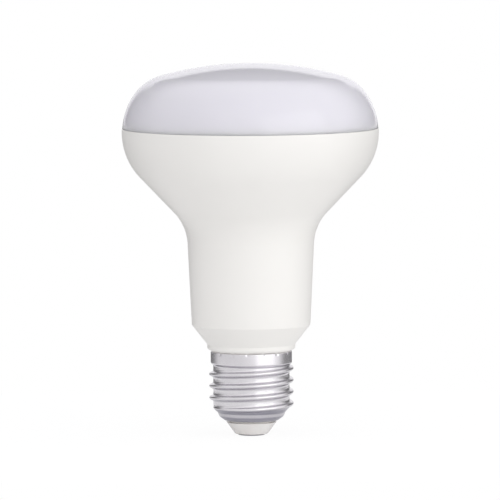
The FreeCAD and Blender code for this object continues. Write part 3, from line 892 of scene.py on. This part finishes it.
    def contact_outline(self) -> list[Point]:
        """Draw the contact's half outline.

        Returns:
            Points from its face to the pin's tip.
        """
        edge = arc_points((self.contact_radius - self.contact_round, self.contact_round),
                          self.contact_round, 270, 360, self.contact_steps)
        return ([(0.0, 0.0)] + line_points((self.contact_flat, 0.0), edge[0], self.face_steps)
                + edge[1:]
                + [(self.contact_radius, self.contact_thickness),
                   (self.pin_radius, self.contact_thickness),
                   (self.pin_radius, self.pin_top), (0.0, self.pin_top)])

    def build(self, shell: bpy.types.Material, insulator: bpy.types.Material,
              contact: bpy.types.Material) -> None:
        """Model and dress the cap's three pieces.

        Args:
            shell: the shell's finish.
            insulator: the insulator's finish.
            contact: the contact's finish.
        """
        self.build_shell(shell)
        plug = turn_outline("insulator_plug", self.insulator_outline(), self.segments)
        place_piece(plug, "cap_insulator", insulator)
        head = turn_outline("contact_head", self.contact_outline(), self.segments)
        place_piece(head, "centre_contact", contact)


# Studio

class Softbox(Enum):
    """A softbox's azimuth, elevation, distance, width, height and radiance."""

    KEY_WALL = (-48.0, 16.0, 1700.0, 1900.0, 1500.0, 0.62)


@dataclass
class Room:
    """The room round the lamp, as the light that comes from each direction.

    Directions are unit vectors with +X to the right, +Y away from the camera
    and +Z up, and each range is where one surface passes into the next.
    """

    tint: str = "FBFAFD"
    left_wall: float = 0.8
    right_wall: float = 1.06
    wall_turn: Range = (-0.8, 0.4)
    ceiling_pull: float = 0.8
    dark_back: float = 0.17
    backdrop_top: Range = (0.27, 0.34)
    backdrop_rise: float = 0.25
    backdrop_side: Range = (0.25, 0.45)
    ceiling_slope: float = 0.655
    ceiling_edge: Range = (-0.15, 0.5)
    skyline: Range = (-0.06, 0.04)
    ground_line: Range = (-0.06, 0.0)
    ground_turn: float = 0.24
    ground_edge: Range = (0.0, 0.6)
    ground_share: float = 0.95

    def wall_light(self, tree: bpy.types.NodeTree, way: bpy.types.Node) -> bpy.types.NodeSocket:
        """Return the pale walls' light, which rises from the left to the right.

        Args:
            tree: the world's nodes.
            way: the node that splits the direction.

        Returns:
            The radiance socket.
        """
        # the ceiling is as pale as the right wall, so the difference fades out upwards
        across = add_node(tree, "ShaderNodeMath", {"operation": "MULTIPLY_ADD"}, {
            0: way.outputs["Z"], 1: self.ceiling_pull, 2: way.outputs["X"]})
        walls = add_node(tree, "ShaderNodeMapRange", {"interpolation_type": "SMOOTHSTEP"}, {
            "Value": across.outputs[0], "From Min": self.wall_turn[0],
            "From Max": self.wall_turn[1], "To Min": self.left_wall, "To Max": self.right_wall})
        return walls.outputs[0]

    def dark_gap(self, tree: bpy.types.NodeTree, way: bpy.types.Node) -> bpy.types.NodeSocket:
        """Return the share of the dark gap between the pale backdrop and the ceiling.

        The dome mirrors it as the dark line round its crown.

        Args:
            tree: the world's nodes.
            way: the node that splits the direction.

        Returns:
            The share socket.
        """
        aside = add_node(tree, "ShaderNodeMath", {"operation": "ABSOLUTE"}, {
            0: way.outputs["X"]})
        # the backdrop's top edge rises to both sides, and its sides are narrow
        above = add_node(tree, "ShaderNodeMath", {"operation": "MULTIPLY_ADD"}, {
            0: aside.outputs[0], 1: -self.backdrop_rise, 2: way.outputs["Z"]})
        over = add_node(tree, "ShaderNodeMapRange", {"interpolation_type": "SMOOTHSTEP"}, {
            "Value": above.outputs[0], "From Min": self.backdrop_top[0],
            "From Max": self.backdrop_top[1]})
        beside = add_node(tree, "ShaderNodeMapRange", {"interpolation_type": "SMOOTHSTEP"}, {
            "Value": aside.outputs[0], "From Min": self.backdrop_side[0],
            "From Max": self.backdrop_side[1]})
        off_backdrop = add_node(tree, "ShaderNodeMath", {"operation": "MAXIMUM"}, {
            0: over.outputs[0], 1: beside.outputs[0]})
        # the ceiling reaches further back the higher the direction points
        behind = add_node(tree, "ShaderNodeMath", {"operation": "MULTIPLY_ADD"}, {
            0: way.outputs["Z"], 1: -self.ceiling_slope, 2: way.outputs["Y"]})
        off_ceiling = add_node(tree, "ShaderNodeMapRange", {"interpolation_type": "SMOOTHSTEP"}, {
            "Value": behind.outputs[0], "From Min": self.ceiling_edge[0],
            "From Max": self.ceiling_edge[1]})
        gap = add_node(tree, "ShaderNodeMath", {"operation": "MULTIPLY"}, {
            0: off_backdrop.outputs[0], 1: off_ceiling.outputs[0]})
        skyward = add_node(tree, "ShaderNodeMapRange", {"interpolation_type": "SMOOTHSTEP"}, {
            "Value": way.outputs["Z"], "From Min": self.skyline[0], "From Max": self.skyline[1]})
        gap = add_node(tree, "ShaderNodeMath", {"operation": "MULTIPLY"}, {
            0: gap.outputs[0], 1: skyward.outputs[0]})
        return gap.outputs[0]

    def dark_ground(self, tree: bpy.types.NodeTree, way: bpy.types.Node) -> bpy.types.NodeSocket:
        """Return the share of the dark ground behind the table.

        It reaches further forward on the right.

        Args:
            tree: the world's nodes.
            way: the node that splits the direction.

        Returns:
            The share socket.
        """
        below = add_node(tree, "ShaderNodeMapRange", {"interpolation_type": "SMOOTHSTEP"}, {
            "Value": way.outputs["Z"], "From Min": self.ground_line[0],
            "From Max": self.ground_line[1], "To Min": 1.0, "To Max": 0.0})
        astern = add_node(tree, "ShaderNodeMath", {"operation": "MULTIPLY_ADD"}, {
            0: way.outputs["X"], 1: self.ground_turn, 2: way.outputs["Y"]})
        backward = add_node(tree, "ShaderNodeMapRange", {"interpolation_type": "SMOOTHSTEP"}, {
            "Value": astern.outputs[0], "From Min": self.ground_edge[0],
            "From Max": self.ground_edge[1]})
        ground = add_node(tree, "ShaderNodeMath", {"operation": "MULTIPLY"}, {
            0: below.outputs[0], 1: backward.outputs[0]})
        ground = add_node(tree, "ShaderNodeMath", {"operation": "MULTIPLY"}, {
            0: ground.outputs[0], 1: self.ground_share})
        return ground.outputs[0]

    def build(self) -> None:
        """Light the world with the room, and show the camera plain white."""
        world = bpy.data.worlds.new("studio")
        world.use_nodes = True
        tree = world.node_tree
        tree.nodes.clear()
        place = add_node(tree, "ShaderNodeTexCoord")
        way = add_node(tree, "ShaderNodeSeparateXYZ", {}, {0: place.outputs["Generated"]})
        walls = self.wall_light(tree, way)
        dark = add_node(tree, "ShaderNodeMath", {"operation": "MAXIMUM"}, {
            0: self.dark_gap(tree, way), 1: self.dark_ground(tree, way)})
        strength = add_node(tree, "ShaderNodeMix", {"data_type": "FLOAT"}, {
            0: dark.outputs[0], 2: walls, 3: self.dark_back})
        studio = add_node(tree, "ShaderNodeBackground", {}, {
            "Color": linear(self.tint), "Strength": strength.outputs[0]})
        white = add_node(tree, "ShaderNodeBackground", {}, {
            "Color": linear("FFFFFF"), "Strength": 1.0})
        path = add_node(tree, "ShaderNodeLightPath")
        mix = add_node(tree, "ShaderNodeMixShader", {}, {
            0: path.outputs["Is Camera Ray"], 1: studio.outputs[0], 2: white.outputs[0]})
        add_node(tree, "ShaderNodeOutputWorld", {}, {"Surface": mix.outputs[0]})
        bpy.context.scene.world = world


@dataclass
class Studio:
    """Table, softbox and camera, in the room."""

    camera_distance: float = 1700.0
    camera_elevation: float = 4.6
    target_height: float = 56.9
    target_side: float = -0.25
    lens: float = 399.0
    sensor: float = 36.0
    roll: float = 0.26
    far_clip_m: float = 100.0
    floor_size: float = 240.0
    paper: str = "FAFAFA"
    glow: float = 1.02
    seen_glow: float = 0.9
    mirrored_glow: float = 0.1

    def build_floor(self) -> None:
        """Lay the pale floor, white to the camera with the lamp's soft shadow kept."""
        deselect_all()
        bpy.ops.mesh.primitive_plane_add(size=self.floor_size * MM, location=(0.0, 0.0, 0.0))
        floor = bpy.context.object
        floor.name = "studio_floor"
        material, tree = new_material("studio_floor_paper")
        paper = add_node(tree, "ShaderNodeBsdfDiffuse", {}, {"Color": linear(self.paper)})
        glow = add_node(tree, "ShaderNodeEmission", {}, {
            "Color": linear("FFFFFF"), "Strength": self.glow})
        path = add_node(tree, "ShaderNodeLightPath")
        mirrored = add_node(tree, "ShaderNodeMath", {"operation": "MAXIMUM"}, {
            0: path.outputs["Is Glossy Ray"], 1: path.outputs["Is Transmission Ray"]})
        mirrored = add_node(tree, "ShaderNodeMath", {"operation": "MULTIPLY"}, {
            0: mirrored.outputs[0], 1: self.mirrored_glow})
        seen = add_node(tree, "ShaderNodeMath", {"operation": "MULTIPLY"}, {
            0: path.outputs["Is Camera Ray"], 1: self.seen_glow})
        share = add_node(tree, "ShaderNodeMath", {"operation": "MAXIMUM"}, {
            0: mirrored.outputs[0], 1: seen.outputs[0]})
        mix = add_node(tree, "ShaderNodeMixShader", {}, {
            0: share.outputs[0], 1: paper.outputs[0], 2: glow.outputs[0]})
        add_node(tree, "ShaderNodeOutputMaterial", {}, {"Surface": mix.outputs[0]})
        floor.data.materials.append(material)

    def add_softbox(self, softbox: Softbox) -> None:
        """Hang one softbox that faces the lamp.

        Args:
            softbox: which one.
        """
        azimuth, elevation = (math.radians(v) for v in softbox.value[:2])
        distance, width, height, radiance = softbox.value[2:]
        towards = Vector((math.cos(azimuth) * math.cos(elevation),
                          math.sin(azimuth) * math.cos(elevation), math.sin(elevation)))
        target = Vector((0.0, 0.0, self.target_height * MM))
        deselect_all()
        bpy.ops.object.light_add(type="AREA", location=target + towards * distance * MM)
        lamp = bpy.context.object
        lamp.name = softbox.name.lower()
        lamp.data.shape = "RECTANGLE"
        lamp.data.size, lamp.data.size_y = width * MM, height * MM
        # a plain emitter's watts are its radiance times its area times pi
        lamp.data.energy = radiance * width * height * MM * MM * math.pi
        lamp.rotation_euler = (-towards).to_track_quat("-Z", "Y").to_euler()

    def build_camera(self) -> None:
        """Stand the camera where the photograph was taken."""
        tilt = math.radians(self.camera_elevation)
        target = Vector((self.target_side, 0.0, self.target_height)) * MM
        back = Vector((0.0, -math.cos(tilt), math.sin(tilt))) * self.camera_distance * MM
        deselect_all()
        bpy.ops.object.camera_add(location=target + back)
        camera = bpy.context.object
        camera.name = "photo_camera"
        turn = (-back).to_track_quat("-Z", "Y")
        roll = Euler((0.0, 0.0, math.radians(-self.roll))).to_quaternion()
        camera.rotation_euler = (turn @ roll).to_euler()
        camera.data.lens = self.lens
        camera.data.sensor_width = self.sensor
        camera.data.clip_end = self.far_clip_m
        bpy.context.scene.camera = camera

    def build(self) -> None:
        """Set up the floor, the room, the softbox and the camera."""
        self.build_floor()
        Room().build()
        for softbox in Softbox:
            self.add_softbox(softbox)
        self.build_camera()
        bpy.context.scene.view_settings.view_transform = "Standard"
        LOG.info("studio: %d softbox, camera at %.1f m", len(Softbox),
                 self.camera_distance * MM)


def main() -> None:
    """Build the lamp and its studio."""
    logging.basicConfig(level=logging.INFO, format="%(name)s: %(message)s")
    Head().build(SatinThermoplastic().build(), OpalPolycarbonate().build())
    # the contact's nickel looks greyer than the shell's
    contact = NickelPlate(shade="A9A7AD", light_shade="AFADB3")
    ScrewCap().build(NickelPlate().build("nickel_shell"), InsulatorCeramic().build(),
                     contact.build("nickel_contact"))
    Studio().build()


if __name__ == "__main__":
    main()
